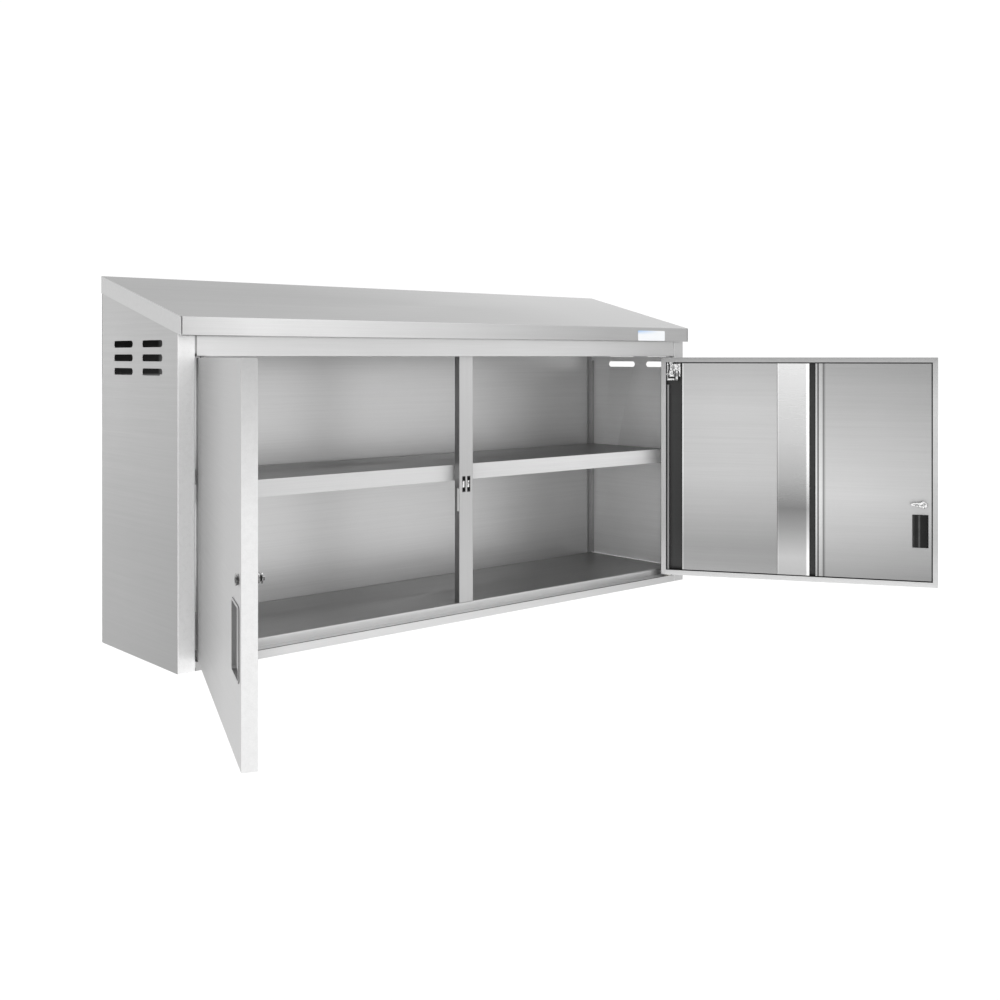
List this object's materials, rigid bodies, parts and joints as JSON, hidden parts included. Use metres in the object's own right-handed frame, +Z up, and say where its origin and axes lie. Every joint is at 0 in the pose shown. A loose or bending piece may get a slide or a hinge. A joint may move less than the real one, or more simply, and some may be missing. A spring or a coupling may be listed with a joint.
{
  "type": "hot towel cabinet",
  "caption": "Wall-hung stainless steel cabinet with a sloping top, two lockable hinged doors, a centre post, an adjustable shelf and vented sides.",
  "frame": {"origin": "centre of the back face, where the cabinet lies on the wall", "axes": "+Y out of the back face into the wall, +X along the width towards the right-hand side as seen from the front, +Z up"},
  "size_m": [2.0718, 1.0041, 0.797],
  "materials": {
    "side_steel": "brushed stainless steel, lines running front to back",
    "front_steel": "brushed stainless steel, lines running along the length",
    "roof_steel": "brushed stainless steel, lines running along the length",
    "inner_steel": "satin stainless steel",
    "door_steel": "brushed stainless steel, lines running across the door",
    "liner_steel": "satin stainless steel",
    "strip_steel": "bright stainless steel",
    "pull_grey": "satin grey stamped steel",
    "chrome": "polished chrome",
    "black_plastic": "satin black moulded plastic",
    "nylon": "natural nylon",
    "label_white": "blank printed sticker, plain white and pale blue"
  },
  "bodies": {
    "cabinet": {"side_panel_left": "side_steel", "side_panel_right": "side_steel", "back_panel": "inner_steel", "hanging_rail": "inner_steel", "top_rail_bracket_left": "inner_steel", "top_rail_bracket_right": "inner_steel", "floor_stiffener": "inner_steel", "shelf_standard_rear_left": "inner_steel", "shelf_standard_rear_right": "inner_steel", "shelf_standard_front_left": "inner_steel", "shelf_standard_front_right": "inner_steel", "roof_panel": "roof_steel", "top_rail": "front_steel", "bottom_pan": "front_steel", "mullion": "front_steel", "catch_body_left": "black_plastic", "catch_body_right": "black_plastic", "catch_magnet_left": "chrome", "catch_magnet_right": "chrome", "shelf_clip_rear_left": "chrome", "shelf_clip_rear_right": "chrome", "shelf_clip_front_left": "chrome", "shelf_clip_front_right": "chrome", "fascia_label": "label_white", "left_pivot_washer": "nylon", "right_pivot_washer": "nylon"},
    "mid_shelf": {"mid_shelf": "front_steel", "mid_shelf_stiffener": "inner_steel"},
    "left_door": {"left_door_skin": "door_steel", "left_door_liner_hinge_side": "liner_steel", "left_door_liner_free_side": "liner_steel", "left_door_stiffener": "strip_steel", "left_door_hinge_strip": "liner_steel", "left_pull_plate": "pull_grey", "left_pull_housing": "black_plastic", "left_lock_housing": "chrome", "left_lock_nut": "chrome", "left_pivot_bracket": "chrome", "left_bottom_pivot_pin": "chrome"},
    "left_lock": {"left_lock_plug": "chrome", "left_lock_cam": "chrome", "left_cam_screw": "chrome"},
    "left_pivot_release": {"left_release_pin": "chrome"},
    "right_door": {"right_door_skin": "door_steel", "right_door_liner_hinge_side": "liner_steel", "right_door_liner_free_side": "liner_steel", "right_door_stiffener": "strip_steel", "right_door_hinge_strip": "liner_steel", "right_pull_plate": "pull_grey", "right_pull_housing": "black_plastic", "right_lock_housing": "chrome", "right_lock_nut": "chrome", "right_pivot_bracket": "chrome", "right_bottom_pivot_pin": "chrome"},
    "right_lock": {"right_lock_plug": "chrome", "right_lock_cam": "chrome", "right_cam_screw": "chrome"},
    "right_pivot_release": {"right_release_pin": "chrome"}
  },
  "joints": [
    {"name": "left_door_hinge", "type": "hinge", "parent": "cabinet", "child": "left_door", "pos_m": [-0.706, -0.347, -0.0785], "axis": [0, 0, -1], "range_deg": [-112.4, 12.4]},
    {"name": "right_door_hinge", "type": "hinge", "parent": "cabinet", "child": "right_door", "pos_m": [0.706, -0.347, -0.0785], "axis": [0, 0, 1], "range_deg": [-122.2, 2.6]},
    {"name": "left_lock_turn", "type": "hinge", "parent": "left_door", "child": "left_lock", "pos_m": [-0.93875, -0.97467, -0.1035], "axis": [0.9245, -0.3811, 0], "range_deg": [-180, 0]},
    {"name": "right_lock_turn", "type": "hinge", "parent": "right_door", "child": "right_lock", "pos_m": [1.04219, -0.92589, -0.1615], "axis": [0.8462, 0.5329, 0], "range_deg": [-180, 0]},
    {"name": "left_pivot_pin_release", "type": "slide", "parent": "left_door", "child": "left_pivot_release", "axis": [0, 0, -1], "range_m": [0, 0.009], "stiffness_N_per_m": 900, "springref_m": -0.006},
    {"name": "right_pivot_pin_release", "type": "slide", "parent": "right_door", "child": "right_pivot_release", "axis": [0, 0, -1], "range_m": [0, 0.009], "stiffness_N_per_m": 900, "springref_m": -0.006},
    {"name": "mid_shelf_lift", "type": "slide", "parent": "cabinet", "child": "mid_shelf", "axis": [0, 0, 1], "range_m": [0, 0.05]}
  ]
}
